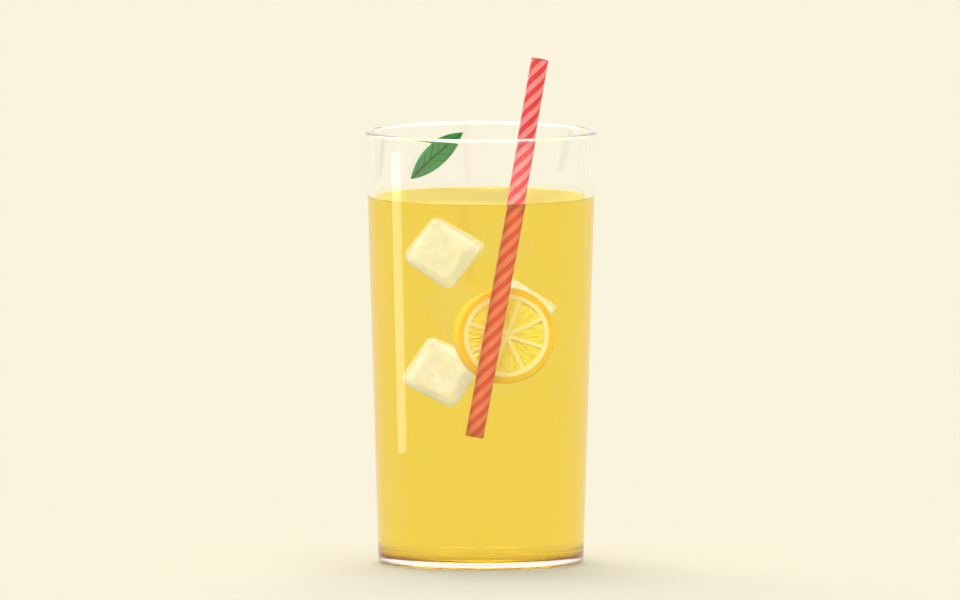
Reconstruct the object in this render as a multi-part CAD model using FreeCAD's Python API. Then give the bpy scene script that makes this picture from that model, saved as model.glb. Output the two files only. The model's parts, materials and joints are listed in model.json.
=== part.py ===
"""Glass of lemonade: a tall tapered tumbler, the drink in it, a paper straw, a slice of lemon and a leaf.

Lengths are millimetres and angles degrees. +Z is up, the glass stands on z = 0 round the Z axis, and
-Y is the front. The slice hangs in the drink, the straw leans along the front wall and against the
rim, and the leaf clings to the inside of the back wall, above the drink.
"""

import FreeCAD, Part
import math
import os

Vector = FreeCAD.Vector
UP = Vector(0, 0, 1)
ORIGIN = Vector(0, 0, 0)

# Glass
GLASS_HEIGHT = 150.0
RIM_DIAMETER = 80.0
BASE_DIAMETER = 71.0
RIM_WALL = 2.4  # at the lip
FOOT_WALL = 2.2  # just above the floor
FLOOR_THICKNESS = 2.4
LIP_FLAT = 0.2  # left on top of the lip, between its two roundings
FOOT_ROUND = 1.2
FLOOR_ROUND = 3.0  # inside, between floor and wall
PUNT_DEPTH = 0.5  # hollow under the foot
PUNT_SLOPE = 3.0  # width of the hollow's sloping edge
RING_WIDTH = 5.0  # flat ring that the glass stands on

# Drink
HEADSPACE = 23.0  # from its surface up to the rim

# Straw
STRAW_DIAMETER = 6.0
STRAW_WALL = 0.45
STRAW_LENGTH = 133.0
STRAW_FOOT_HEIGHT = 46.2
STRAW_FOOT_SIDE = -2.2  # sideways place of the foot, + to the right
STRAW_RIM_SIDE = 15.7  # sideways place where it crosses the rim
SEAT_GAP = 0.3  # between the glass and the straw or leaf that rests on it

# Slice of lemon
SLICE_DIAMETER = 33.2
SLICE_THICKNESS = 4.0
SLICE_HEIGHT = 81.0  # its centre above the table
SLICE_TURN = 18.0  # faces this far to the right of the front
SLICE_GAP = 0.9  # between its front face and the straw
SLICE_EDGE_ROUND = 0.5
FLESH_RADIUS = 12.7
SEGMENTS = 8
MEMBRANE_WIDTH = 1.2
SEGMENT_ROUND = 0.7
SEGMENT_DEPTH = 0.3  # the flesh lies this much below the membranes
SEGMENT_START = 25.0  # direction of the first membrane

# Leaf
LEAF_LENGTH = 26.0
LEAF_WIDTH = 8.3
LEAF_THICKNESS = 0.5
LEAF_DROP = 11.4  # its middle lies this far below the rim
LEAF_BEARING = 26.3  # its middle lies this far to the left of the back
LEAF_RISE = 36.0  # the tip points this far above level
MIDRIB_WIDTH = 0.9
MIDRIB_RELIEF = 0.25

DRINK_LEVEL = GLASS_HEIGHT - HEADSPACE
LIP_ROUND = (RIM_WALL - LIP_FLAT) / 2


def outer_radius(height):
    """Radius of the glass's outside at a height."""
    share = height / GLASS_HEIGHT
    return (BASE_DIAMETER + (RIM_DIAMETER - BASE_DIAMETER) * share) / 2


def inner_radius(height):
    """Radius of the glass's inside at a height, which runs straight from the floor to the lip."""
    low = outer_radius(FLOOR_THICKNESS) - FOOT_WALL
    high = RIM_DIAMETER / 2 - RIM_WALL
    share = (height - FLOOR_THICKNESS) / (GLASS_HEIGHT - FLOOR_THICKNESS)
    return low + (high - low) * share


def rounded_outline(corners):
    """Closed wire in the XZ plane through (radius, height, rounding) corners, each rounded by an arc."""
    places = [Vector(radius, 0, height) for radius, height, _ in corners]
    ends = []
    for index, (_, _, rounding) in enumerate(corners):
        place = places[index]
        back = (places[index - 1] - place).normalize()
        ahead = (places[(index + 1) % len(places)] - place).normalize()
        if rounding == 0:
            ends.append((place, None, place))
            continue
        half_angle = back.getAngle(ahead) / 2
        tangent = rounding / math.tan(half_angle)
        middle = (back + ahead).normalize()
        crown = place + middle * (rounding / math.sin(half_angle) - rounding)
        ends.append((place + back * tangent, crown, place + ahead * tangent))
    edges = []
    for index, (start, crown, finish) in enumerate(ends):
        if crown is not None:
            edges.append(Part.Arc(start, crown, finish).toShape())
        following = ends[(index + 1) % len(ends)][0]
        edges.append(Part.LineSegment(finish, following).toShape())
    return Part.Wire(edges)


def turned(corners):
    """Solid of revolution about the Z axis, from the corners of half its section."""
    return Part.Face(rounded_outline(corners)).revolve(ORIGIN, UP, 360)


def make_glass():
    """Tapered tumbler with a rounded lip and a shallow hollow under its foot."""
    base_radius = BASE_DIAMETER / 2
    ring_inside = base_radius - FOOT_ROUND - RING_WIDTH
    return turned(
        [
            (0, PUNT_DEPTH, 0),
            (ring_inside - PUNT_SLOPE, PUNT_DEPTH, 0),
            (ring_inside, 0, 0),
            (base_radius, 0, FOOT_ROUND),
            (RIM_DIAMETER / 2, GLASS_HEIGHT, LIP_ROUND),
            (RIM_DIAMETER / 2 - RIM_WALL, GLASS_HEIGHT, LIP_ROUND),
            (inner_radius(FLOOR_THICKNESS), FLOOR_THICKNESS, FLOOR_ROUND),
            (0, FLOOR_THICKNESS, 0),
        ]
    )


def straw_place(height, side):
    """Point on the axis of a straw that keeps its gap to the front wall, at a height and sideways place."""
    reach = inner_radius(height) - STRAW_DIAMETER / 2 - SEAT_GAP
    return Vector(side, -math.sqrt(reach**2 - side**2), height)


def straw_line():
    """Foot of the straw's axis and its direction, along the front wall as far as the rim."""
    foot = straw_place(STRAW_FOOT_HEIGHT, STRAW_FOOT_SIDE)
    crossing = straw_place(GLASS_HEIGHT, STRAW_RIM_SIDE)
    return foot, (crossing - foot).normalize()


def make_straw():
    """Open tube, its foot in the drink and its upper part against the rim."""
    foot, direction = straw_line()
    tube = Part.makeCylinder(STRAW_DIAMETER / 2, STRAW_LENGTH, foot, direction)
    bore = Part.makeCylinder(STRAW_DIAMETER / 2 - STRAW_WALL, STRAW_LENGTH, foot, direction)
    return tube.cut(bore)


def slice_reach():
    """Distance from the glass's axis to the slice's front face, which lies just behind the straw."""
    foot, direction = straw_line()
    turn = math.radians(SLICE_TURN)
    facing = Vector(math.sin(turn), -math.cos(turn), 0)
    reaches = []
    for height in (SLICE_HEIGHT - SLICE_DIAMETER / 2, SLICE_HEIGHT + SLICE_DIAMETER / 2):
        beside = foot + direction * ((height - foot.z) / direction.z)
        reaches.append(beside.dot(facing))
    return min(reaches) - STRAW_DIAMETER / 2 - SLICE_GAP


def segment_pocket(depth):
    """One segment's shallow hollow, standing on z = 0, between the first two membranes."""
    half_step = math.pi / SEGMENTS
    apex = MEMBRANE_WIDTH / 2 / math.sin(half_step)
    swing = half_step - math.asin(MEMBRANE_WIDTH / 2 / FLESH_RADIUS)

    def at(radius, angle):
        return Vector(radius * math.cos(angle), radius * math.sin(angle), 0)

    outline = Part.Wire(
        [
            Part.LineSegment(at(apex, 0), at(FLESH_RADIUS, -swing)).toShape(),
            Part.Arc(at(FLESH_RADIUS, -swing), at(FLESH_RADIUS, 0), at(FLESH_RADIUS, swing)).toShape(),
            Part.LineSegment(at(FLESH_RADIUS, swing), at(apex, 0)).toShape(),
        ]
    )
    block = Part.Face(outline).extrude(UP * depth)
    upright = [edge for edge in block.Edges if abs(edge.BoundBox.ZLength - depth) < depth / 10]
    return block.makeFillet(SEGMENT_ROUND, upright)


def make_slice():
    """Lemon slice with rounded rind, its flesh a little below the membranes on both faces."""
    half = SLICE_THICKNESS / 2
    disc = turned(
        [
            (0, -half, 0),
            (SLICE_DIAMETER / 2, -half, SLICE_EDGE_ROUND),
            (SLICE_DIAMETER / 2, half, SLICE_EDGE_ROUND),
            (0, half, 0),
        ]
    )
    pocket = segment_pocket(2 * SEGMENT_DEPTH)
    pockets = []
    for index in range(SEGMENTS):
        bearing = SEGMENT_START + (index + 0.5) * 360 / SEGMENTS
        for face in (-half, half):
            copy = pocket.copy()
            copy.rotate(ORIGIN, UP, bearing)
            copy.translate(UP * (face - SEGMENT_DEPTH))
            pockets.append(copy)
    slice_solid = disc.cut(pockets)
    slice_solid.rotate(ORIGIN, Vector(1, 0, 0), 90)
    slice_solid.translate(Vector(0, half - slice_reach(), SLICE_HEIGHT))
    slice_solid.rotate(ORIGIN, UP, SLICE_TURN)
    return slice_solid


def wall_shell(thickness):
    """Shell this thick that follows the inside of the glass's wall, a seat's gap from it."""
    low, high = DRINK_LEVEL, GLASS_HEIGHT
    near, far = SEAT_GAP + thickness, SEAT_GAP
    return turned(
        [
            (inner_radius(low) - near, low, 0),
            (inner_radius(low) - far, low, 0),
            (inner_radius(high) - far, high, 0),
            (inner_radius(high) - near, high, 0),
        ]
    )


def leaf_prism(width):
    """Pointed leaf outline of two arcs, extruded outwards so that it cuts through the back wall."""
    tip, foot = Vector(LEAF_LENGTH / 2, 0, 0), Vector(-LEAF_LENGTH / 2, 0, 0)
    upper = Part.Arc(foot, Vector(0, 0, width / 2), tip).toShape()
    lower = Part.Arc(tip, Vector(0, 0, -width / 2), foot).toShape()
    prism = Part.Face(Part.Wire([upper, lower])).extrude(Vector(0, RIM_DIAMETER / 2, 0))
    prism.rotate(ORIGIN, Vector(0, 1, 0), -LEAF_RISE)
    prism.translate(Vector(0, 0, GLASS_HEIGHT - LEAF_DROP))
    prism.rotate(ORIGIN, UP, LEAF_BEARING)
    return prism


def make_leaf():
    """Leaf that clings to the inside of the back wall, with a raised midrib on its inner face."""
    blade = wall_shell(LEAF_THICKNESS).common(leaf_prism(LEAF_WIDTH))
    midrib = wall_shell(LEAF_THICKNESS + MIDRIB_RELIEF).common(leaf_prism(MIDRIB_WIDTH))
    return blade.fuse(midrib).removeSplitter()


def make_drink(straw, slice_solid):
    """The lemonade up to its level, cut round the straw's wall and the slice."""
    body = turned(
        [
            (0, FLOOR_THICKNESS, 0),
            (inner_radius(FLOOR_THICKNESS), FLOOR_THICKNESS, FLOOR_ROUND),
            (inner_radius(DRINK_LEVEL), DRINK_LEVEL, 0),
            (0, DRINK_LEVEL, 0),
        ]
    )
    return body.cut([straw, slice_solid])


def main():
    straw = make_straw()
    lemon_slice = make_slice()
    pieces = {
        "glass": make_glass(),
        "drink": make_drink(straw, lemon_slice),
        "straw": straw,
        "lemon_slice": lemon_slice,
        "leaf": make_leaf(),
    }
    os.makedirs("parts", exist_ok=True)
    for name, shape in pieces.items():
        shape.exportStep(f"parts/{name}.step")
        solids = len(shape.Solids)
        print(f"{name}: {solids} solid, valid {shape.isValid()}, {shape.Volume / 1000:.2f} ml")


main()
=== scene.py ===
"""Looks of a glass of lemonade: tumbler, drink, ice, paper straw, lemon slice and leaf.

Lengths are metres. -Y is the front, +Z is up and the tumbler stands on z = 0 round the Z axis.
"""

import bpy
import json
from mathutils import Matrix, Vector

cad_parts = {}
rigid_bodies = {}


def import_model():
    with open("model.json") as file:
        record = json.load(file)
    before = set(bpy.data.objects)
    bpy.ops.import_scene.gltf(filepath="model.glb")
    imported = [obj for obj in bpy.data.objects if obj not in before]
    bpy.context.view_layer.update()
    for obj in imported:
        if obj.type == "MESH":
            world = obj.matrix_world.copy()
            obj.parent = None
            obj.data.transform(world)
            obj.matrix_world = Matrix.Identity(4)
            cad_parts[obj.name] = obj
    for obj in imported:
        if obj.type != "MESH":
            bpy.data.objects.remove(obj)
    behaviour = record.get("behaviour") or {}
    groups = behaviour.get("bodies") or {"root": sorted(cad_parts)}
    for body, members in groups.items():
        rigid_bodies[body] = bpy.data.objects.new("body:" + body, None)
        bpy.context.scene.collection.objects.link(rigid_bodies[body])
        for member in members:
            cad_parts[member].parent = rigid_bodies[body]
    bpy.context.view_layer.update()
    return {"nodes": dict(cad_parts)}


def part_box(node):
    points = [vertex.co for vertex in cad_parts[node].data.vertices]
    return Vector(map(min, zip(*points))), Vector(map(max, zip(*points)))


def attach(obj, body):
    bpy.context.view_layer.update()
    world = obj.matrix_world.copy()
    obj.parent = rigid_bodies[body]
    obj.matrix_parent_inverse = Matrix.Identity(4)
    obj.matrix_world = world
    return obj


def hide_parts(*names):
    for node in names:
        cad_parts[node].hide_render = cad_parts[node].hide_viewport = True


bl_info = {
    "name": "Glass of Lemonade",
    "version": (1, 0, 0),
    "blender": (4, 5, 0),
    "location": "3D View > Sidebar > Lemonade",
    "description": "Builds a tumbler of lemonade with ice, a paper straw, a lemon slice and a leaf",
    "category": "Object",
}

import json
import math

import bpy
from bpy.props import FloatProperty, FloatVectorProperty, IntProperty, PointerProperty
from mathutils import Vector

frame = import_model()

BODY = "root"
MM = 0.001
UP = Vector((0, 0, 1))
SPIN_STEPS = 128
SMOOTH_ANGLE = math.radians(32)


# Sizes and colours ---------------------


def length(name, description, default):
    """A length that the panel shows in the scene's unit."""
    return FloatProperty(
        name=name, description=description, default=default, min=0, precision=5, unit="LENGTH"
    )


def colour(name, description, default):
    """A linear colour."""
    return FloatVectorProperty(
        name=name, description=description, default=default, size=3, min=0, max=1, subtype="COLOR"
    )


def angle(name, description, degrees):
    """An angle, given in degrees and kept in radians."""
    return FloatProperty(
        name=name, description=description, default=math.radians(degrees), subtype="ANGLE"
    )


class TumblerSizes(bpy.types.PropertyGroup):
    """Walls, roundings and clarity of the tumbler; its height and rim come from the frame."""

    foot_diameter: length("Foot diameter", "Outside, before its edge is rounded", 71 * MM)
    rim_wall: length("Rim wall", "Thickness of the wall at the lip", 2.4 * MM)
    foot_wall: length("Foot wall", "Thickness of the wall just above the floor", 2.2 * MM)
    floor: length("Floor thickness", "From the table to the drink's underside", 2.4 * MM)
    foot_round: length("Foot rounding", "Radius of the foot's outer edge", 1.2 * MM)
    floor_round: length("Floor rounding", "Radius between floor and wall, inside", 3 * MM)
    punt: length("Punt depth", "Hollow under the foot", 0.5 * MM)
    ring: length("Standing ring", "Width of the flat ring that the tumbler stands on", 5 * MM)
    tint: colour("Glass tint", "Colour of the glass", (1.0, 1.0, 1.0))
    # Painted highlight: how far the lip's glass is whitened, so that the rim shows as a white line.
    painted_lip_highlight: FloatProperty(
        name="Milky lip", description="How milky the lip's glass is",
        default=0.1, min=0, max=0.5, subtype="FACTOR",
    )


class DrinkSizes(bpy.types.PropertyGroup):
    """Colour of the lemonade and the shape of its surface."""

    colour: colour("Lemonade", "Colour that the drink lets through", (0.92, 0.69, 0.058))
    seat: length("Seat", "How far the drink reaches into the glass", 0.2 * MM)
    rise: length("Edge rise", "How far the surface climbs at the glass", 0.3 * MM)
    climb: length("Edge width", "Over what width the surface climbs", 1.0 * MM)
    cloud: colour("Cloud", "Colour of the fine pulp that floats on the surface", (0.92, 0.7, 0.05))
    clearness: FloatProperty(
        name="Clear surface", description="How much shows through the pulp on the surface",
        default=0.2, min=0, max=1, subtype="FACTOR",
    )


class IceSizes(bpy.types.PropertyGroup):
    """Size and whiteness of the ice cubes."""

    white: colour("White", "Colour of the milky ice", (0.86, 0.92, 1.0))
    side: length("Side", "Length of a cube's edge", 18.6 * MM)
    rounding: length("Rounding", "Radius of the melted edges", 2.2 * MM)
    dents: length("Dents", "Depth of the unevenness of a melted face", 0.12 * MM)
    cloud: FloatProperty(
        name="Cloud", description="How milky the ice is",
        default=0.78, min=0, max=1, subtype="FACTOR",
    )


class StrawSizes(bpy.types.PropertyGroup):
    """Paper and stripes of the straw; its line comes from the frame."""

    diameter: length("Diameter", "Outside diameter", 6 * MM)
    wall: length("Wall", "Thickness of the wound paper", 0.45 * MM)
    pitch: length("Pitch", "Rise of the paper strip in one turn", 23 * MM)
    seam: length("Seam", "Width of the groove between turns of the strip", 0.08 * MM)
    stripes: IntProperty(name="Stripes", description="Stripes of each colour", default=4, min=1)
    red: colour("Red stripe", "Darker stripe", (0.8, 0.035, 0.035))
    pink: colour("Pink stripe", "Paler stripe", (0.9, 0.26, 0.25))


class SliceSizes(bpy.types.PropertyGroup):
    """Rind, pith and flesh of the lemon slice; its centre comes from the frame."""

    diameter: length("Diameter", "Across the rind", 33.2 * MM)
    thickness: length("Thickness", "From face to face", 4 * MM)
    turn: angle("Turn", "How far it faces to the right of the front", 18)
    rind: length("Rind", "Width of the yellow rind", 2.3 * MM)
    flesh_radius: length("Flesh radius", "From the centre to the pith", 12.7 * MM)
    segments: IntProperty(name="Segments", description="Segments of flesh", default=8, min=3)
    membrane: length("Membrane", "Width between two segments", 1.2 * MM)
    start: angle("First membrane", "Direction of the first membrane", 25)
    corner: length("Corner", "Rounding of a segment's corners", 0.7 * MM)
    edge: length("Edge", "Rounding of the rind's edges", 0.5 * MM)
    dip: length("Dip", "How far the flesh lies below the membranes", 0.25 * MM)
    sacs: IntProperty(name="Juice sacs", description="Sacs all the way round", default=72, min=8)
    sac_length: length("Sac length", "Length of a juice sac", 4.5 * MM)
    rind_colour: colour("Rind", "Colour of the zest", (0.84, 0.57, 0.012))
    pith_colour: colour("Pith", "Colour of pith and membranes", (0.98, 0.96, 0.84))
    flesh_colour: colour("Flesh", "Colour of the juice sacs", (0.95, 0.86, 0.1))


class LeafSizes(bpy.types.PropertyGroup):
    """Outline and greens of the leaf; its place comes from the frame."""

    length: length("Length", "From stalk end to tip", 26 * MM)
    width: length("Width", "Across the middle", 8.3 * MM)
    thickness: length("Thickness", "Of the blade", 0.4 * MM)
    gap: length("Gap", "Between the leaf and the glass that it clings to", 0.35 * MM)
    midrib: length("Midrib", "Width of the midrib at its foot", 1.1 * MM)
    relief: length("Relief", "How far the midrib stands out", 0.22 * MM)
    rise: angle("Rise", "How far the tip points above level", 36)
    veins: IntProperty(name="Side veins", description="Pairs of side veins", default=6, min=2)
    green: colour("Green", "Colour of the blade", (0.02, 0.33, 0.045))
    vein_green: colour("Vein green", "Colour of midrib and veins", (0.004, 0.1, 0.012))


class StageSizes(bpy.types.PropertyGroup):
    """Floor, light and view."""

    floor_colour: colour("Floor", "Colour of the floor", (0.95, 0.89, 0.71))
    horizon_light: FloatProperty(
        name="Horizon", description="Light at the horizon", default=1.0, min=0
    )
    ceiling_light: FloatProperty(
        name="Ceiling", description="Room light from above", default=0.4, min=0
    )
    view_width: length("View width", "Width that the camera sees", 332.6 * MM)
    view_height: length("View height", "Height of the view's centre", 91 * MM)
    elevation: angle("Elevation", "How far the camera looks down", 4.8)


SIZES = {
    "tumbler": TumblerSizes,
    "drink": DrinkSizes,
    "ice": IceSizes,
    "straw": StrawSizes,
    "lemon": SliceSizes,
    "leaf": LeafSizes,
    "stage": StageSizes,
}


# Modelling helpers ---------------------


def clear_selection():
    """Leaves edit mode and selects nothing."""
    if bpy.context.object and bpy.context.object.mode != "OBJECT":
        bpy.ops.object.mode_set(mode="OBJECT")
    bpy.ops.object.select_all(action="DESELECT")


def pick(piece):
    """Makes one piece the only selected one and the active one."""
    clear_selection()
    piece.select_set(True)
    bpy.context.view_layer.objects.active = piece


def edit(piece):
    """Opens a piece in edit mode with nothing selected."""
    pick(piece)
    bpy.ops.object.mode_set(mode="EDIT")
    bpy.ops.mesh.select_mode(type="VERT")
    bpy.ops.mesh.select_all(action="DESELECT")


def select_in(piece, kind, test):
    """Selects, in edit mode, only those vertices, edges or polygons of a piece that pass a test."""
    bpy.ops.mesh.select_mode(type={"vertices": "VERT", "edges": "EDGE", "polygons": "FACE"}[kind])
    bpy.ops.mesh.select_all(action="DESELECT")
    bpy.ops.object.mode_set(mode="OBJECT")
    for item in getattr(piece.data, kind):
        if test(item):
            item.select = True
    bpy.ops.object.mode_set(mode="EDIT")


def point_of(piece, index):
    """Place of one of a piece's vertices."""
    return piece.data.vertices[index].co


def edge_rise(piece, edge):
    """Height between an edge's two ends."""
    start, finish = (point_of(piece, index) for index in edge.vertices)
    return abs(finish.z - start.z)


def apply_modifier(piece, kind, **settings):
    """Adds a modifier with these settings and applies it."""
    pick(piece)
    modifier = piece.modifiers.new(kind.title(), kind)
    for key, value in settings.items():
        setattr(modifier, key, value)
    bpy.ops.object.modifier_apply(modifier=modifier.name)


def settle(piece):
    """Moves a piece's place, turn and scale into its mesh."""
    pick(piece)
    bpy.ops.object.transform_apply(location=True, rotation=True, scale=True)


def smooth(piece, limit=SMOOTH_ANGLE):
    """Shades a piece smooth except across edges sharper than the limit."""
    pick(piece)
    bpy.ops.object.shade_smooth_by_angle(angle=limit)


def tidy_normals(piece):
    """Merges a piece's doubles and points its faces outwards."""
    edit(piece)
    bpy.ops.mesh.select_all(action="SELECT")
    bpy.ops.mesh.remove_doubles(threshold=1e-6)
    bpy.ops.mesh.normals_make_consistent(inside=False)
    bpy.ops.object.mode_set(mode="OBJECT")


def join(pieces):
    """Joins pieces into the first one."""
    clear_selection()
    for piece in pieces:
        piece.select_set(True)
    bpy.context.view_layer.objects.active = pieces[0]
    bpy.ops.object.join()
    return pieces[0]


def rounded(corners):
    """Points of a line through (radius, height, rounding) corners, with an arc where rounded."""
    arc_steps = 6
    places = [Vector((radius, 0, height)) for radius, height, _ in corners]
    points = []
    for index, (_, _, rounding) in enumerate(corners):
        place = places[index]
        if rounding == 0:
            points.append(place)
            continue
        back = (places[index - 1] - place).normalized()
        ahead = (places[(index + 1) % len(places)] - place).normalized()
        half_angle = back.angle(ahead) / 2
        centre = place + (back + ahead).normalized() * (rounding / math.sin(half_angle))
        start = (place + back * (rounding / math.tan(half_angle)) - centre).normalized()
        finish = (place + ahead * (rounding / math.tan(half_angle)) - centre).normalized()
        shares = [step / arc_steps for step in range(arc_steps + 1)]
        points += [centre + start.slerp(finish, share) * rounding for share in shares]
    return points


def with_rings(points):
    """The same line with long stretches divided, and a point close to each of their ends."""
    guard, longest = 0.4 * MM, 12 * MM
    divided = [points[0]]
    for start, finish in zip(points, points[1:]):
        span = (finish - start).length
        if span > 4 * guard:
            count = max(1, round((span - 2 * guard) / longest))
            first, last = guard / span, 1 - guard / span
            for step in range(count + 1):
                divided.append(start.lerp(finish, first + (last - first) * step / count))
        divided.append(finish)
    return divided


def turned(name, points):
    """Piece of revolution about Z: one point is drawn out along the line and the line is spun."""
    clear_selection()
    bpy.ops.mesh.primitive_plane_add(size=MM)
    piece = bpy.context.object
    piece.name = name
    edit(piece)
    bpy.ops.mesh.select_all(action="SELECT")
    bpy.ops.mesh.merge(type="CENTER")
    bpy.ops.mesh.select_all(action="SELECT")
    bpy.ops.transform.translate(value=points[0])
    for start, finish in zip(points, points[1:]):
        bpy.ops.mesh.extrude_region_move(TRANSFORM_OT_translate={"value": finish - start})
    bpy.ops.mesh.select_all(action="SELECT")
    bpy.ops.mesh.spin(steps=SPIN_STEPS, angle=math.tau, center=(0, 0, 0), axis=(0, 0, 1))
    bpy.ops.object.mode_set(mode="OBJECT")
    tidy_normals(piece)
    smooth(piece)
    return piece


def finish_piece(piece, name, slot, *nodes):
    """Names a finished piece, seats it in the frame and lets it stand for its CAD nodes."""
    piece.name = name
    piece.data.name = name
    settle(piece)
    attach(piece, BODY)
    if nodes:
        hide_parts(*nodes)


# Material helpers ----------------------


class Recipe:
    """A material that is built up node by node."""

    def __init__(self, name):
        self.material = bpy.data.materials.new(name)
        self.material.use_nodes = True
        self.tree = self.material.node_tree
        self.surface = self.tree.nodes["Principled BSDF"]
        self.place = self.add("ShaderNodeTexCoord").outputs["Object"]

    def fill(self, node, inputs):
        """Sets a node's inputs, by number or name, or links them where a socket is given."""
        for key, value in inputs.items():
            socket = node.inputs[key]
            if isinstance(value, bpy.types.NodeSocket):
                self.tree.links.new(value, socket)
            elif hasattr(value, "__len__") and len(value) == 3 and socket.type == "RGBA":
                socket.default_value = (*value, 1)
            else:
                socket.default_value = value

    def add(self, kind, inputs=None, **settings):
        """Adds a node with these settings and inputs."""
        node = self.tree.nodes.new(kind)
        for key, value in settings.items():
            setattr(node, key, value)
        self.fill(node, inputs or {})
        return node

    def noise(self, scale, detail, rough=0.5):
        """Noise of this many grains to the metre."""
        inputs = {"Vector": self.place, "Scale": scale, "Detail": detail, "Roughness": rough}
        return self.add("ShaderNodeTexNoise", inputs).outputs["Fac"]

    def remap(self, value, low, high, start=0.0, end=1.0):
        """Stretches a value's range low..high onto start..end."""
        inputs = {0: value, 1: low, 2: high, 3: start, 4: end}
        return self.add("ShaderNodeMapRange", inputs).outputs[0]

    def blend(self, share, first, second):
        """Mixes two colours."""
        node = self.add("ShaderNodeMix", data_type="RGBA")
        self.fill(node, {0: share, 6: first, 7: second})
        return node.outputs[2]

    def maths(self, operation, first, second):
        """One sum on two numbers."""
        return self.add("ShaderNodeMath", {0: first, 1: second}, operation=operation).outputs[0]

    def bump(self, height, distance, strength):
        """Relief of this height in metres."""
        inputs = {"Height": height, "Distance": distance, "Strength": strength}
        return self.add("ShaderNodeBump", inputs).outputs[0]

    def shade(self, **inputs):
        """Sets the surface shader's inputs; underscores in their names stand for spaces."""
        self.fill(self.surface, {key.replace("_", " "): value for key, value in inputs.items()})
        return self.material


def coat(piece, *materials):
    """Gives a new piece its materials, in this order."""
    for material in materials:
        piece.data.materials.append(material)


# Tumbler and drink ---------------------


def tumbler_height():
    """Height of the tumbler, from the frame."""
    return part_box("glass")[1].z


def rim_radius():
    """Outside radius of the tumbler's rim, from the frame, to the nearest tenth of a millimetre."""
    return round(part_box("glass")[1].x / MM, 1) * MM


def inside_radius(sizes, height):
    """Radius of the tumbler's inside at a height above its floor."""
    floor, rim = sizes.floor, tumbler_height()
    outside = sizes.foot_diameter / 2
    low = outside + (rim_radius() - outside) * floor / rim - sizes.foot_wall
    high = rim_radius() - sizes.rim_wall
    return low + (high - low) * (height - floor) / (rim - floor)


def glass_material(sizes):
    """Clear glass with the faint waviness of a pressed tumbler."""
    recipe = Recipe("Tumbler glass")
    wave = recipe.noise(45, detail=1.0)
    relief = recipe.bump(wave, 0.03 * MM, 0.35)
    return recipe.shade(
        Base_Color=tuple(sizes.tint), Roughness=0.0, IOR=1.5, Transmission_Weight=1.0, Normal=relief
    )


def lip_glass_with_painted_highlight(sizes):
    """The lip's glass, made a little milky white: a painted highlight that stands in for the white
    line that light draws along the rim.
    """
    recipe = Recipe("Tumbler lip")
    least, most = 0.7 * sizes.painted_lip_highlight, 1.3 * sizes.painted_lip_highlight
    # Painted highlight: the lip's milky white, a little uneven.
    milk = recipe.remap(recipe.noise(700, detail=2.0), 0.3, 0.7, least, most)
    return recipe.shade(
        Base_Color=tuple(sizes.tint),
        Roughness=0.02,
        IOR=1.5,
        Transmission_Weight=recipe.maths("SUBTRACT", 1.0, milk),
    )


def make_tumbler(sizes):
    """Tapered tumbler with a rounded lip and a shallow hollow under its foot."""
    height, rim, foot = tumbler_height(), rim_radius(), sizes.foot_diameter / 2
    ring_inside = foot - sizes.foot_round - sizes.ring
    punt_slope, punt_round = 3 * MM, 0.8 * MM
    lip_round = sizes.rim_wall * 0.46  # leaves a narrow flat on top
    corners = [
        (0, sizes.punt, 0),
        (ring_inside - punt_slope, sizes.punt, punt_round),
        (ring_inside, 0, punt_round),
        (foot, 0, sizes.foot_round),
        (rim, height, lip_round),
        (rim - sizes.rim_wall, height, lip_round),
        (inside_radius(sizes, sizes.floor), sizes.floor, sizes.floor_round),
        (0, sizes.floor, 0),
    ]
    tumbler = turned("tumbler", with_rings(rounded(corners)))
    coat(tumbler, glass_material(sizes), lip_glass_with_painted_highlight(sizes))
    # The lip's faces get the whitened glass, a painted rim highlight.
    for face in tumbler.data.polygons:
        face.material_index = int(face.center.z > height - lip_round)
    finish_piece(tumbler, "tumbler", "clear_glass", "glass")


def drink_material(sizes):
    """Clear yellow lemonade, as deep in colour at its edges as at its middle."""
    recipe = Recipe("Lemonade")
    return recipe.shade(
        Base_Color=tuple(sizes.colour),
        Roughness=0.0,
        IOR=1.34,
        Transmission_Weight=1.0,
    )


def pulp_material(sizes):
    """The top of the drink, where fine pulp gathers."""
    recipe = Recipe("Lemonade surface")
    pulp = recipe.noise(420, detail=4.0)
    pale = tuple(sizes.cloud)
    deep = tuple(channel * 0.95 for channel in pale)
    return recipe.shade(
        Base_Color=recipe.blend(pulp, deep, pale),
        Roughness=0.12,
        IOR=1.34,
        Transmission_Weight=sizes.clearness,
        Specular_IOR_Level=0.0,
    )


def surface_line(sizes, edge, level):
    """The drink's surface from the glass to the axis, climbing at the glass."""
    spots = [0, 0.25, 0.5, 0.85, 1.3, 2, 3, 4.5]
    places = [edge - spot * sizes.climb for spot in spots] + [edge * 0.6, edge * 0.3, 0]
    return [
        Vector((radius, 0, level + sizes.rise * math.exp((radius - edge) / sizes.climb)))
        for radius in places
    ]


def make_drink(sizes, glass_sizes):
    """The lemonade, reaching just into the wall, with its surface drawn up at the glass."""
    level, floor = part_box("drink")[1].z, glass_sizes.floor
    edge = inside_radius(glass_sizes, level) + sizes.seat
    foot, underside = inside_radius(glass_sizes, floor) + sizes.seat, floor - sizes.seat
    corners = [
        (0, underside, 0),
        (foot, underside, glass_sizes.floor_round),
        (edge, level + sizes.rise, 0),
    ]
    outside = with_rings(rounded(corners))
    drink = turned("lemonade", outside + surface_line(sizes, edge, level)[1:])
    coat(drink, drink_material(sizes), pulp_material(sizes))
    for face in drink.data.polygons:
        faces_up = face.normal.z > 0.05
        face.material_index = int(faces_up)
    finish_piece(drink, "lemonade", "lemonade", "drink")


# Ice -----------------------------------

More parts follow.
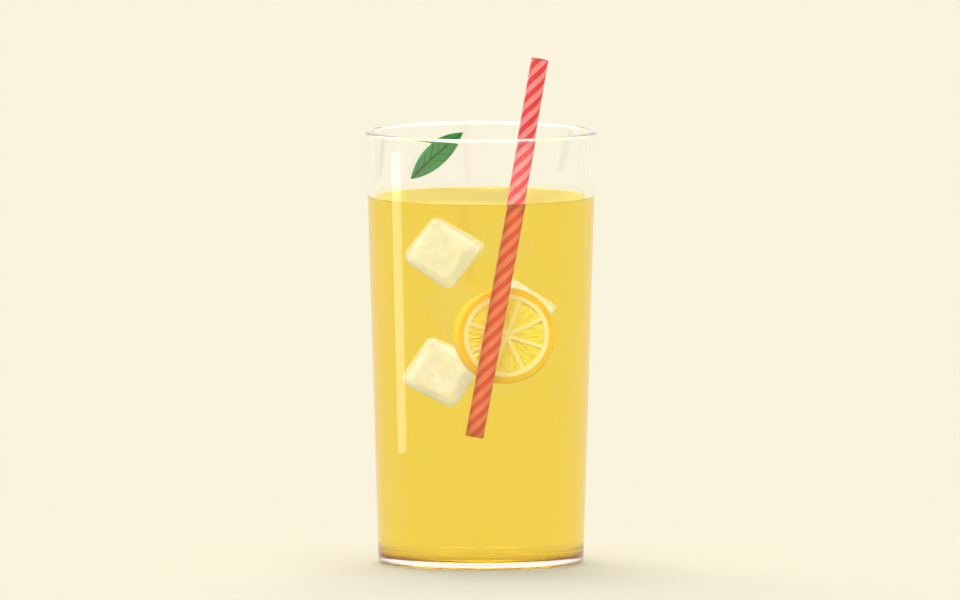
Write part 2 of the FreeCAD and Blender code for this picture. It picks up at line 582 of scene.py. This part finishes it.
ICE_PLACES = (
    # sideways, depth, height, turn seen from the front, turn about the upright, share of full size
    (-11.6 * MM, -18 * MM, 109.5 * MM, 34, -7, 1.0),
    (-11.4 * MM, -13.4 * MM, 67.7 * MM, 28, -7, 1.0),
    (9.8 * MM, -8.2 * MM, 88.2 * MM, 41, 8, 0.93),
)


def cube_turns(place):
    """A cube's turns about X, Y and Z."""
    lean, turn = place[3:5]
    return (0, math.radians(lean), math.radians(turn))


def ice_material(sizes, number, place):
    """Melting ice, milky with fine bubbles inside its faces and clearer along its edges."""
    recipe = Recipe(f"Ice {number}")
    inputs = {"Vector": recipe.place, "Location": place[:3], "Rotation": cube_turns(place)}
    own = recipe.add("ShaderNodeMapping", inputs, vector_type="TEXTURE").outputs[0]
    reach = recipe.add("ShaderNodeVectorMath", {0: own}, operation="LENGTH").outputs["Value"]
    side = sizes.side * place[5]
    milk = recipe.remap(reach, 0.55 * side, 0.74 * side, sizes.cloud, 0.45 * sizes.cloud)
    bubbles = recipe.remap(recipe.noise(180, detail=4.0, rough=0.6), 0.35, 0.65, 0.82, 1.18)
    relief = recipe.bump(recipe.noise(110, detail=3.0), 0.08 * MM, 0.4)
    return recipe.shade(
        Base_Color=tuple(sizes.white),
        Roughness=0.08,
        IOR=1.31,
        Transmission_Weight=recipe.maths("SUBTRACT", 1.0, recipe.maths("MULTIPLY", milk, bubbles)),
        Normal=relief,
    )


def dent(cube, sizes, number):
    """Gives a melted cube its uneven faces, different on each cube."""
    dents = bpy.data.textures.new(f"melt {number}", "CLOUDS")
    dents.noise_scale = 9 * MM
    shift = Vector((3, 7, 11)) * number * sizes.side
    cube.location = shift
    settle(cube)
    apply_modifier(
        cube, "DISPLACE", texture=dents, texture_coords="LOCAL", strength=2 * sizes.dents
    )
    cube.location = -shift
    settle(cube)


def make_ice_cube(sizes, number, place):
    """One melted cube with rounded edges, where it lies."""
    clear_selection()
    bpy.ops.mesh.primitive_cube_add(size=sizes.side * place[5])
    cube = bpy.context.object
    edit(cube)
    bpy.ops.mesh.select_all(action="SELECT")
    bpy.ops.mesh.bevel(offset=sizes.rounding, segments=5, affect="EDGES", profile=0.5)
    bpy.ops.object.mode_set(mode="OBJECT")
    apply_modifier(cube, "REMESH", mode="VOXEL", voxel_size=0.9 * MM)
    dent(cube, sizes, number)
    cube.rotation_euler = cube_turns(place)
    cube.location = place[:3]
    settle(cube)
    return cube


def make_ice(sizes):
    """The cubes, sunk in the drink."""
    for number, place in enumerate(ICE_PLACES, 1):
        cube = make_ice_cube(sizes, number, place)
        apply_modifier(cube, "SUBSURF", levels=1, render_levels=1)
        smooth(cube, math.pi)
        coat(cube, ice_material(sizes, number, place))
        finish_piece(cube, f"ice_cube_{number}", "clear_glass")


# Straw ---------------------------------


def straw_ends():
    """Centres of the straw's lower and upper end, from the frame's own tube."""
    points = [vertex.co for vertex in frame["nodes"]["straw"].data.vertices]
    spots = {tuple(round(part / MM, 3) for part in point) for point in points}
    low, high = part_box("straw")[0].z / MM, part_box("straw")[1].z / MM
    middle = (low + high) / 2
    ends = []
    for upper in (False, True):
        ring = [Vector(spot) for spot in spots if (spot[2] >= middle) == upper]
        ends.append(sum(ring, Vector()) / len(ring) * MM)
    return ends


def paper_material(name, ink, grain):
    """Printed, waxed paper: ink laid unevenly on fine fibres."""
    recipe = Recipe(name)
    fibres = recipe.noise(2600, detail=4.0)
    patches = recipe.noise(260, detail=2.0)
    uneven = recipe.remap(recipe.maths("ADD", fibres, patches), 0.7, 1.3)
    darker = tuple(channel * (1 - grain) for channel in ink)
    relief = recipe.bump(fibres, 0.04 * MM, 0.4)
    return recipe.shade(
        Base_Color=recipe.blend(uneven, darker, tuple(ink)),
        Roughness=recipe.remap(fibres, 0.3, 0.7, 0.42, 0.56),
        Normal=relief,
    )


def make_straw(sizes):
    """A strip of paper wound into a tube, cut square at both ends, with printed stripes."""
    foot, top = straw_ends()
    axis = top - foot
    radius, strip = sizes.diameter / 2, sizes.pitch - sizes.seam
    bands = 2 * sizes.stripes
    turns = math.ceil(axis.length / sizes.pitch) + 2
    clear_selection()
    bpy.ops.mesh.primitive_plane_add(size=1)
    straw = bpy.context.object
    edit(straw)
    bpy.ops.mesh.select_all(action="SELECT")
    bpy.ops.transform.resize(value=(sizes.wall, strip, 1))
    bpy.ops.transform.rotate(value=math.pi / 2, orient_axis="X", center_override=(0, 0, 0))
    bpy.ops.transform.translate(value=(radius - sizes.wall / 2, 0, strip / 2 - sizes.pitch))
    bpy.ops.mesh.delete(type="ONLY_FACE")
    bpy.ops.mesh.select_all(action="SELECT")
    bpy.ops.mesh.bevel(offset=sizes.seam * 0.9, segments=2, affect="VERTICES")
    select_in(straw, "edges", lambda edge: edge_rise(straw, edge) > strip / 2)
    bpy.ops.mesh.subdivide(number_cuts=2 * bands - 1)
    bpy.ops.object.mode_set(mode="OBJECT")
    apply_modifier(
        straw, "SCREW", angle=math.tau, screw_offset=sizes.pitch, iterations=turns, steps=56,
        render_steps=56, axis="Z", use_merge_vertices=False,
    )
    for height, outer in ((0.0, False), (axis.length, True)):
        edit(straw)
        bpy.ops.mesh.select_all(action="SELECT")
        bpy.ops.mesh.bisect(
            plane_co=(0, 0, height), plane_no=(0, 0, 1), use_fill=True,
            clear_outer=outer, clear_inner=not outer,
        )
        bpy.ops.object.mode_set(mode="OBJECT")
    tidy_normals(straw)
    coat(straw, paper_material("Red paper", sizes.red, 0.14))
    coat(straw, paper_material("Pink paper", sizes.pink, 0.1))
    for face in straw.data.polygons:
        centre = face.center
        around = math.atan2(centre.y, centre.x) / math.tau
        phase = (centre.z / sizes.pitch - around) % 1.0
        face.material_index = int(phase * bands) % 2
    straw.rotation_mode = "QUATERNION"
    straw.rotation_quaternion = UP.rotation_difference(axis)
    straw.location = foot
    settle(straw)
    smooth(straw)
    finish_piece(straw, "paper_straw", "straw_paper", "straw")


# Lemon slice ---------------------------


def rind_material(sizes):
    """Glossy zest with oil pores."""
    recipe = Recipe("Lemon rind")
    cells = {"Vector": recipe.place, "Scale": 900, "Randomness": 0.9}
    pores = recipe.add("ShaderNodeTexVoronoi", cells).outputs["Distance"]
    patches = recipe.noise(220, detail=2.0)
    warm = tuple(sizes.rind_colour)
    pale = tuple(min(1, channel * 1.12 + 0.01) for channel in warm)
    return recipe.shade(
        Base_Color=recipe.blend(patches, warm, pale),
        Roughness=0.32,
        Normal=recipe.bump(recipe.remap(pores, 0.05, 0.5), 0.12 * MM, 0.6),
    )


def pith_material(sizes):
    """Soft, spongy pith and membranes."""
    recipe = Recipe("Lemon pith")
    sponge = recipe.noise(1500, detail=3.0)
    pale = tuple(sizes.pith_colour)
    deep = tuple(channel * 0.94 for channel in pale)
    return recipe.shade(
        Base_Color=recipe.blend(sponge, deep, pale),
        Roughness=0.5,
        Normal=recipe.bump(sponge, 0.06 * MM, 0.5),
    )


def slice_place():
    """Centre of the slice, from the frame."""
    low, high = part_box("lemon_slice")
    return (low + high) / 2


def flesh_material(sizes):
    """Wet juice sacs, long cells that point outwards from the slice's centre."""
    recipe = Recipe("Lemon flesh")
    turns = (math.pi / 2, 0, sizes.turn)
    inputs = {"Vector": recipe.place, "Location": slice_place(), "Rotation": turns}
    own = recipe.add("ShaderNodeMapping", inputs, vector_type="TEXTURE").outputs[0]
    parts = recipe.add("ShaderNodeSeparateXYZ", {0: own}).outputs
    bearing = recipe.maths("ARCTAN2", parts["Y"], parts["X"])
    reach = recipe.add("ShaderNodeVectorMath", {0: own}, operation="LENGTH").outputs["Value"]
    around = recipe.maths("MULTIPLY", bearing, sizes.sacs / math.tau)
    outwards = recipe.maths("DIVIDE", reach, sizes.sac_length)
    cell = recipe.add("ShaderNodeCombineXYZ", {0: around, 1: outwards}).outputs[0]
    cells = {"Vector": cell, "Scale": 1, "Randomness": 0.8}
    sac = recipe.add("ShaderNodeTexVoronoi", cells, feature="DISTANCE_TO_EDGE").outputs["Distance"]
    skin = recipe.remap(sac, 0.0, 0.12)
    bright = tuple(sizes.flesh_colour)
    pale = tuple(channel + (1 - channel) * 0.28 for channel in bright)
    return recipe.shade(
        Base_Color=recipe.blend(skin, pale, bright),
        Roughness=0.18,
        Normal=recipe.bump(recipe.remap(sac, 0.0, 0.3), 0.15 * MM, 0.6),
    )


def segment_block(sizes, inset, height):
    """One segment with rounded corners, inset from its membranes' middles, as a block along +X."""
    arc_steps = 12
    half_step = math.pi / sizes.segments

    def is_another(face):
        return not 0 < math.atan2(face.center.y, face.center.x) < 2 * half_step

    clear_selection()
    bpy.ops.mesh.primitive_circle_add(
        vertices=arc_steps * sizes.segments,
        radius=sizes.flesh_radius + sizes.membrane / 2,
        fill_type="TRIFAN",
    )
    block = bpy.context.object
    edit(block)
    select_in(block, "polygons", is_another)
    bpy.ops.mesh.delete(type="FACE")
    bpy.ops.mesh.select_all(action="SELECT")
    bpy.ops.mesh.dissolve_faces()
    bpy.ops.mesh.select_all(action="SELECT")
    bpy.ops.mesh.inset(thickness=inset, use_boundary=True)
    bpy.ops.mesh.select_all(action="INVERT")
    bpy.ops.mesh.delete(type="FACE")
    bpy.ops.object.mode_set(mode="OBJECT")
    block.rotation_euler = (0, 0, -half_step)
    settle(block)
    edit(block)
    widest = max(abs(vertex.co.y) for vertex in block.data.vertices)
    apex = min(vertex.co.x for vertex in block.data.vertices)
    margin = 0.02 * MM

    def is_corner(vertex):
        return vertex.co.x < apex + margin or abs(vertex.co.y) > widest - margin

    select_in(block, "vertices", is_corner)
    bpy.ops.mesh.bevel(offset=sizes.corner, segments=4, affect="VERTICES")
    bpy.ops.mesh.select_all(action="SELECT")
    bpy.ops.mesh.extrude_region_move(TRANSFORM_OT_translate={"value": (0, 0, height)})
    bpy.ops.mesh.select_all(action="SELECT")
    bpy.ops.transform.translate(value=(0, 0, -height / 2))
    bpy.ops.mesh.normals_make_consistent(inside=False)
    bpy.ops.object.mode_set(mode="OBJECT")
    return block


def round_the_slice(model, sizes, shape=None):
    """Copies a block to each segment's place, shaping each copy, and joins the copies."""
    blocks = []
    for number in range(sizes.segments):
        block = model.copy()
        block.data = model.data.copy()
        bpy.context.collection.objects.link(block)
        if shape:
            shape(block, number)
        block.rotation_euler = (0, 0, sizes.start + (number + 0.5) * math.tau / sizes.segments)
        settle(block)
        blocks.append(block)
    bpy.data.objects.remove(model)
    return join(blocks)


def slice_frame(sizes):
    """Rind, pith and membranes: a disc with rounded edges and a hole for each segment of flesh."""
    half, radius = sizes.thickness / 2, sizes.diameter / 2
    zest = radius - sizes.rind
    clear_selection()
    bpy.ops.mesh.primitive_cylinder_add(vertices=128, radius=radius, depth=sizes.thickness)
    disc = bpy.context.object
    coat(disc, rind_material(sizes), pith_material(sizes), flesh_material(sizes))
    edit(disc)
    select_in(disc, "polygons", lambda face: abs(face.normal.z) > 0.9)
    bpy.ops.mesh.inset(thickness=sizes.rind)

    def is_outer_edge(edge):
        nearest = min(math.hypot(*point_of(disc, index)[:2]) for index in edge.vertices)
        return edge_rise(disc, edge) < half and nearest > radius - 0.1 * MM

    select_in(disc, "edges", is_outer_edge)
    bpy.ops.mesh.bevel(offset=sizes.edge, segments=4, affect="EDGES", profile=0.5)
    bpy.ops.object.mode_set(mode="OBJECT")
    holes = round_the_slice(segment_block(sizes, sizes.membrane / 2, 2 * sizes.thickness), sizes)
    apply_modifier(disc, "BOOLEAN", object=holes, operation="DIFFERENCE", solver="EXACT")
    bpy.data.objects.remove(holes)
    for face in disc.data.polygons:
        farthest = max(math.hypot(*point_of(disc, index)[:2]) for index in face.vertices)
        face.material_index = int(farthest < zest + 0.05 * MM)
    apply_modifier(
        disc, "BEVEL", width=0.14 * MM, segments=2,
        limit_method="ANGLE", angle_limit=math.radians(60),
    )
    smooth(disc)
    return disc


def sac_relief(block, number):
    """Raises the long juice sacs on a segment that points along +X."""
    sacs = bpy.data.textures.new(f"juice sacs {number}", "VORONOI")
    sacs.noise_scale = 1.1 * MM
    shift = Vector((0, 0.05 * number, 0.03 * number))
    stretch = Vector((4, 1, 3))
    block.scale = [1 / share for share in stretch]
    block.location = shift
    settle(block)
    apply_modifier(
        block, "DISPLACE", texture=sacs, texture_coords="LOCAL", direction="NORMAL",
        strength=-0.28 * MM,
    )
    block.location = -shift
    settle(block)
    block.scale = stretch
    settle(block)


def slice_flesh(sizes):
    """The segments of flesh, which reach just into their membranes and lie a little below them."""
    overlap = 0.25 * MM
    model = segment_block(sizes, sizes.membrane / 2 - overlap, sizes.thickness - 2 * sizes.dip)
    apply_modifier(model, "REMESH", mode="VOXEL", voxel_size=0.22 * MM)
    apply_modifier(model, "SMOOTH", factor=0.5, iterations=4)
    flesh = round_the_slice(model, sizes, sac_relief)
    smooth(flesh, math.pi)
    return flesh


def make_slice(sizes):
    """The slice: rind, pith and membranes with the segments of flesh set in them."""
    disc = slice_frame(sizes)
    flesh = slice_flesh(sizes)
    coat(flesh, *disc.data.materials)
    for face in flesh.data.polygons:
        face.material_index = 2
    lemon = join([disc, flesh])
    lemon.rotation_euler = (math.pi / 2, 0, sizes.turn)
    lemon.location = slice_place()
    finish_piece(lemon, "lemon_slice_cut", "lemon", "lemon_slice")


# Leaf ----------------------------------


def leaf_material(sizes):
    """Waxy leaf: darker veins, a fine mottle and a soft sheen."""
    recipe = Recipe("Leaf")
    mottle = recipe.noise(900, detail=3.0)
    deep = tuple(channel * 0.8 for channel in sizes.green)
    return recipe.shade(
        Base_Color=recipe.blend(recipe.remap(mottle, 0.35, 0.65), deep, tuple(sizes.green)),
        Roughness=0.4,
        Normal=recipe.bump(mottle, 0.05 * MM, 0.4),
    )


def vein_material(sizes):
    """Midrib and side veins."""
    recipe = Recipe("Leaf veins")
    mottle = recipe.noise(700, detail=2.0)
    deep = tuple(channel * 0.85 for channel in sizes.vein_green)
    return recipe.shade(
        Base_Color=recipe.blend(mottle, deep, tuple(sizes.vein_green)),
        Roughness=0.45,
        Normal=recipe.bump(mottle, 0.03 * MM, 0.3),
    )


def flat_strip(columns, rows, span, half_width, place=(0, 0, 0), turn=0.0):
    """Flat strip along X, turned and placed, with a half width for each share of its length."""
    clear_selection()
    bpy.ops.mesh.primitive_grid_add(x_subdivisions=columns, y_subdivisions=rows, size=1)
    strip = bpy.context.object
    edit(strip)
    bpy.ops.mesh.select_all(action="SELECT")
    bpy.ops.transform.resize(value=(span, 2, 1))
    for column in range(columns + 1):
        share = column / columns
        along = (share - 0.5) * span
        select_in(strip, "vertices", lambda vertex: abs(vertex.co.x - along) < span / columns / 4)
        bpy.ops.transform.resize(value=(1, half_width(share), 1), center_override=(along, 0, 0))
    bpy.ops.object.mode_set(mode="OBJECT")
    near = half_width(0.5) / rows
    spine = [vertex.index for vertex in strip.data.vertices if abs(vertex.co.y) < near]
    strip.vertex_groups.new(name="ridge").add(spine, 1.0, "REPLACE")
    strip.rotation_euler = (0, 0, turn)
    strip.location = place
    settle(strip)
    return strip


def lay_on_wall(piece, guide, height, rise, depth, thickness):
    """Stands a flat piece up, lays it on the guide at the back and thickens it, this far inwards."""
    piece.rotation_euler = (math.pi / 2, -rise, 0)
    piece.location = (0, 0, height)
    settle(piece)
    apply_modifier(
        piece, "SHRINKWRAP", target=guide, wrap_method="PROJECT", use_project_y=True,
        use_positive_direction=True, use_negative_direction=False,
    )
    edit(piece)
    bpy.ops.mesh.select_all(action="SELECT")
    bpy.ops.transform.translate(value=(0, -depth, 0))
    bpy.ops.object.mode_set(mode="OBJECT")
    apply_modifier(piece, "SOLIDIFY", thickness=thickness, offset=0)


def leaf_ribs(sizes, half_width):
    """Midrib and side veins as thin flat strips."""
    slant = math.radians(38)
    first, stretch = 0.12, 0.68

    def midrib(share):
        return sizes.midrib / 2 * (1 - 0.8 * share)

    def side_vein(share):
        return 0.1 * MM * (1 - 0.7 * share)

    ribs = [flat_strip(40, 4, sizes.length * 0.94, midrib)]
    for number in range(sizes.veins):
        share = first + stretch * number / (sizes.veins - 1)
        foot = (share - 0.5) * sizes.length
        span = half_width(min(share + 0.12, 1)) * 0.86 / math.sin(slant)
        for side in (-1, 1):
            place = (foot + math.cos(slant) * span / 2, side * math.sin(slant) * span / 2, 0)
            ribs.append(flat_strip(8, 2, span, side_vein, place, side * slant))
    return join(ribs)


def make_leaf(sizes, glass_sizes):
    """A pointed leaf that follows the inside of the back wall, with raised midrib and veins."""
    low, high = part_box("leaf")
    centre = (low + high) / 2
    bearing = math.atan2(-centre.x, centre.y)
    sagitta = sizes.width / 2
    arc = (sizes.length**2 / 4 + sagitta**2) / (2 * sagitta)

    def half_width(share):
        along = (share - 0.5) * sizes.length
        return max(math.sqrt(arc**2 - along**2) - (arc - sagitta), 0.04 * MM)

    heights = (low.z - 5 * MM, high.z + 5 * MM)
    reaches = [inside_radius(glass_sizes, height) - sizes.gap for height in heights]
    guide = turned("guide", [Vector((reach, 0, height)) for reach, height in zip(reaches, heights)])
    leaf = flat_strip(44, 12, sizes.length, half_width)
    ribs = leaf_ribs(sizes, half_width)
    lay_on_wall(leaf, guide, centre.z, sizes.rise, sizes.thickness / 2, sizes.thickness)
    lay_on_wall(ribs, guide, centre.z, sizes.rise, sizes.thickness, 0.12 * MM)
    edit(ribs)
    bpy.ops.object.vertex_group_set_active(group="ridge")
    bpy.ops.object.vertex_group_select()
    bpy.ops.transform.translate(value=(0, -sizes.relief, 0))
    bpy.ops.object.mode_set(mode="OBJECT")
    bpy.data.objects.remove(guide)
    coat(leaf, leaf_material(sizes), vein_material(sizes))
    coat(ribs, *leaf.data.materials)
    for face in ribs.data.polygons:
        face.material_index = 1
    leaf = join([leaf, ribs])
    smooth(leaf, math.radians(50))
    leaf.rotation_euler = (0, 0, bearing)
    finish_piece(leaf, "green_leaf", "leaf_green", "leaf")


# Stage ---------------------------------


# Lamps for slice, ice and straw make up for the yellow of the drink that they are seen through.
COOL = (0.43, 0.5, 1.0)
COOLER = (0.37, 0.39, 1.0)
BEAM_TINT = (1.0, 0.8, 1.5)


def floor_material(sizes):
    """Plain matt card."""
    recipe = Recipe("Card floor")
    grain = recipe.noise(30, detail=2.0)
    pale = tuple(sizes.floor_colour)
    return recipe.shade(
        Base_Color=recipe.blend(grain, tuple(channel * 0.995 for channel in pale), pale),
        Roughness=0.9,
        Specular_IOR_Level=0.0,
    )


def group(name, pieces):
    """A named set of pieces, for a lamp to light or to be shaded by."""
    collection = bpy.data.collections.new(name)
    for piece in pieces:
        collection.objects.link(piece)
    return collection


def hang_lamp(name, lamp, place, aim, lit, shading):
    """Hangs a lamp that lights one group and is shaded by another, or by all where that is None."""
    light = bpy.data.objects.new(name, lamp)
    bpy.context.scene.collection.objects.link(light)
    light.location = place
    light.rotation_mode = "QUATERNION"
    light.rotation_quaternion = (Vector(aim) - Vector(place)).to_track_quat("-Z", "Y")
    light.visible_camera = False
    light.light_linking.receiver_collection = lit
    light.light_linking.blocker_collection = shading
    return light


def add_card(name, place, aim, width, height, glow, lit, shading, through=True):
    """A glowing card of this radiance, seen through glass or only reflected in it."""
    lamp = bpy.data.lights.new(name, "AREA")
    lamp.shape, lamp.size, lamp.size_y = "RECTANGLE", width, height
    lamp.energy = glow * math.pi * width * height
    card = hang_lamp(name, lamp, place, aim, lit, shading)
    card.visible_transmission = through


def add_window(name, bearing, elevation, spread, power, lit, shading, tint=(1, 1, 1)):
    """Far soft light from a bearing, counted from the front to the right, and an elevation."""
    lamp = bpy.data.lights.new(name, "SUN")
    lamp.energy, lamp.angle = power * math.pi, math.radians(spread)
    lamp.color = tint
    turn, up = math.radians(bearing), math.radians(elevation)
    place = (math.sin(turn) * math.cos(up), -math.cos(turn) * math.cos(up), math.sin(up))
    hang_lamp(name, lamp, place, (0, 0, 0), lit, shading)


def add_spots(lit, shading):
    """Narrow level beams that light the straw only as far up as the drink's surface."""
    low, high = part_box("straw")[0].z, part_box("drink")[1].z
    middle = (low + high) / 2
    reach = 0.6
    for bearing in (-45, 20, 85):
        lamp = bpy.data.lights.new(f"Beam {bearing}", "SPOT")
        lamp.spot_size = 2 * math.atan((high - middle) / reach)
        lamp.spot_blend, lamp.shadow_soft_size = 0.1, 0.004
        lamp.color = BEAM_TINT
        lamp.energy = 0.26 * 4 * math.pi**2 * reach**2
        turn = math.radians(bearing)
        aim = Vector((5 * MM, -30 * MM, middle))
        place = aim + Vector((math.sin(turn), -math.cos(turn), 0)) * reach
        hang_lamp(f"Beam {bearing}", lamp, place, aim, lit, shading)


def make_room(sizes):
    """Even light all round, brightest at the horizon."""
    world = bpy.data.worlds.new("Room")
    bpy.context.scene.world = world
    world.use_nodes = True
    tree = world.node_tree
    background = tree.nodes["Background"]
    background.inputs["Color"].default_value = (1, 1, 1, 1)
    coordinates = tree.nodes.new("ShaderNodeTexCoord")
    parts = tree.nodes.new("ShaderNodeSeparateXYZ")
    fade = tree.nodes.new("ShaderNodeMapRange")
    tree.links.new(coordinates.outputs["Generated"], parts.inputs[0])
    tree.links.new(parts.outputs["Z"], fade.inputs[0])
    tree.links.new(fade.outputs[0], background.inputs["Strength"])
    low, high = 0.1, 0.6
    steps = (low, high, sizes.horizon_light, sizes.ceiling_light)
    for socket, value in zip(fade.inputs[1:5], steps):
        socket.default_value = value


def add_lights(floor):
    """Lamps, each for the pieces that it lights: floor, tumbler, surface or contents."""
    tumbler = bpy.data.objects["tumbler"]
    drink = bpy.data.objects["lemonade"]
    straw, leaf = bpy.data.objects["paper_straw"], bpy.data.objects["green_leaf"]
    sunk = [bpy.data.objects["lemon_slice_cut"]]
    sunk += [bpy.data.objects[f"ice_cube_{number}"] for number in range(1, len(ICE_PLACES) + 1)]
    contents = group("Contents", [straw, leaf, *sunk])
    solid = group("Shading the floor", [tumbler, straw, leaf, *sunk])
    floor_only = group("Floor", [floor])
    glass_only = group("Glass", [tumbler])
    dry, surface = group("Straw and leaf", [straw, leaf]), group("Surface", [drink])
    lemon, ice = group("Slice", sunk[:1]), group("Ice", sunk[1:])

    add_window("Ceiling", 0, 90, 40, 0.2, floor_only, None)
    add_window("Window", 190, 52, 55, 0.42, floor_only, solid)
    for bearing, share in ((-35, 1.15), (85, 0.85), (205, 0.9)):
        add_window(f"Slice fill {bearing}", bearing, 35, 90, 2.7 * share, lemon, contents, COOL)
        add_window(f"Ice fill {bearing}", bearing, 35, 90, 2.3 * share, ice, floor_only, COOLER)
        add_window(f"Dry fill {bearing}", bearing, 35, 90, 0.3 * share, dry, contents)
    add_window("Surface fill", 0, 90, 90, 0.34, surface, None)
    add_card("Strip", (-0.25, 0, 0.0645), (0, 0, 0.0645), 0.058, 0.105, 2.6, glass_only, None, False)
    add_card("Sky card", (0, 0, 1.5), (0, 0, 0.1), 3.0, 3.0, 0.9, glass_only, None)
    add_card("Rim card", (0, -0.1, 0.9), (0, 0, 0.15), 0.9, 0.9, 18, glass_only, None)
    add_spots(dry, contents)


def make_stage(sizes):
    """Floor, even room light, soft lamps and the camera."""
    clear_selection()
    bpy.ops.mesh.primitive_plane_add(size=24, location=(0, 0, -0.2 * MM))
    floor = bpy.context.object
    floor.name = "floor"
    coat(floor, floor_material(sizes))
    settle(floor)
    make_room(sizes)
    add_lights(floor)

    camera = bpy.data.cameras.new("Camera")
    camera.type, camera.ortho_scale = "ORTHO", sizes.view_width
    camera.clip_end = 100
    view = bpy.data.objects.new("Camera", camera)
    bpy.context.scene.collection.objects.link(view)
    back = Vector((0, -math.cos(sizes.elevation), math.sin(sizes.elevation)))
    view.location = Vector((-0.35 * MM, 0, sizes.view_height)) + back * 2
    view.rotation_mode = "QUATERNION"
    view.rotation_quaternion = (-back).to_track_quat("-Z", "Y")
    scene = bpy.context.scene
    scene.camera = view
    scene.view_settings.view_transform = "Standard"
    bounces = 32
    scene.cycles.max_bounces = bounces
    scene.cycles.transmission_bounces = bounces
    scene.cycles.glossy_bounces = bounces
    scene.cycles.transparent_max_bounces = bounces


# Operators -----------------------------


class LEMONADE_OT_tumbler(bpy.types.Operator):
    """Build the clear tumbler"""

    bl_idname = "lemonade.tumbler"
    bl_label = "Tumbler"
    bl_options = {"REGISTER", "UNDO"}

    def execute(self, context):
        make_tumbler(context.scene.lemonade_tumbler)
        return {"FINISHED"}


class LEMONADE_OT_drink(bpy.types.Operator):
    """Pour the lemonade"""

    bl_idname = "lemonade.drink"
    bl_label = "Lemonade"
    bl_options = {"REGISTER", "UNDO"}

    def execute(self, context):
        scene = context.scene
        make_drink(scene.lemonade_drink, scene.lemonade_tumbler)
        return {"FINISHED"}


class LEMONADE_OT_ice(bpy.types.Operator):
    """Put the ice cubes in the drink"""

    bl_idname = "lemonade.ice"
    bl_label = "Ice cubes"
    bl_options = {"REGISTER", "UNDO"}

    def execute(self, context):
        make_ice(context.scene.lemonade_ice)
        return {"FINISHED"}


class LEMONADE_OT_straw(bpy.types.Operator):
    """Wind the striped paper straw"""

    bl_idname = "lemonade.straw"
    bl_label = "Paper straw"
    bl_options = {"REGISTER", "UNDO"}

    def execute(self, context):
        make_straw(context.scene.lemonade_straw)
        return {"FINISHED"}


class LEMONADE_OT_slice(bpy.types.Operator):
    """Cut the lemon slice"""

    bl_idname = "lemonade.slice"
    bl_label = "Lemon slice"
    bl_options = {"REGISTER", "UNDO"}

    def execute(self, context):
        make_slice(context.scene.lemonade_lemon)
        return {"FINISHED"}


class LEMONADE_OT_leaf(bpy.types.Operator):
    """Lay the leaf on the wall"""

    bl_idname = "lemonade.leaf"
    bl_label = "Leaf"
    bl_options = {"REGISTER", "UNDO"}

    def execute(self, context):
        scene = context.scene
        make_leaf(scene.lemonade_leaf, scene.lemonade_tumbler)
        return {"FINISHED"}


class LEMONADE_OT_stage(bpy.types.Operator):
    """Set the floor, the light and the camera"""

    bl_idname = "lemonade.stage"
    bl_label = "Stage"
    bl_options = {"REGISTER", "UNDO"}

    def execute(self, context):
        make_stage(context.scene.lemonade_stage)
        return {"FINISHED"}


OPERATORS = (
    LEMONADE_OT_tumbler,
    LEMONADE_OT_drink,
    LEMONADE_OT_ice,
    LEMONADE_OT_straw,
    LEMONADE_OT_slice,
    LEMONADE_OT_leaf,
    LEMONADE_OT_stage,
)


class LEMONADE_PT_pieces(bpy.types.Panel):
    """Lists the pieces, each with its sizes and colours"""

    bl_label = "Glass of Lemonade"
    bl_idname = "LEMONADE_PT_pieces"
    bl_space_type = "VIEW_3D"
    bl_region_type = "UI"
    bl_category = "Lemonade"

    def draw(self, context):
        for operator in OPERATORS:
            self.layout.operator(operator.bl_idname)
        for name, sizes in SIZES.items():
            box = self.layout.box()
            box.label(text=name.title())
            for key in sizes.__annotations__:
                box.prop(getattr(context.scene, f"lemonade_{name}"), key)


def register():
    """Registers the sizes, the operators and the panel."""
    for name, sizes in SIZES.items():
        bpy.utils.register_class(sizes)
        setattr(bpy.types.Scene, f"lemonade_{name}", PointerProperty(type=sizes))
    for item in (*OPERATORS, LEMONADE_PT_pieces):
        bpy.utils.register_class(item)


def unregister():
    """Takes them away again."""
    for item in (LEMONADE_PT_pieces, *reversed(OPERATORS)):
        bpy.utils.unregister_class(item)
    for name, sizes in SIZES.items():
        delattr(bpy.types.Scene, f"lemonade_{name}")
        bpy.utils.unregister_class(sizes)


def main():
    """Builds every piece and the stage."""
    register()
    bpy.ops.lemonade.tumbler()
    bpy.ops.lemonade.drink()
    bpy.ops.lemonade.ice()
    bpy.ops.lemonade.straw()
    bpy.ops.lemonade.slice()
    bpy.ops.lemonade.leaf()
    bpy.ops.lemonade.stage()


if __name__ == "__main__":
    main()
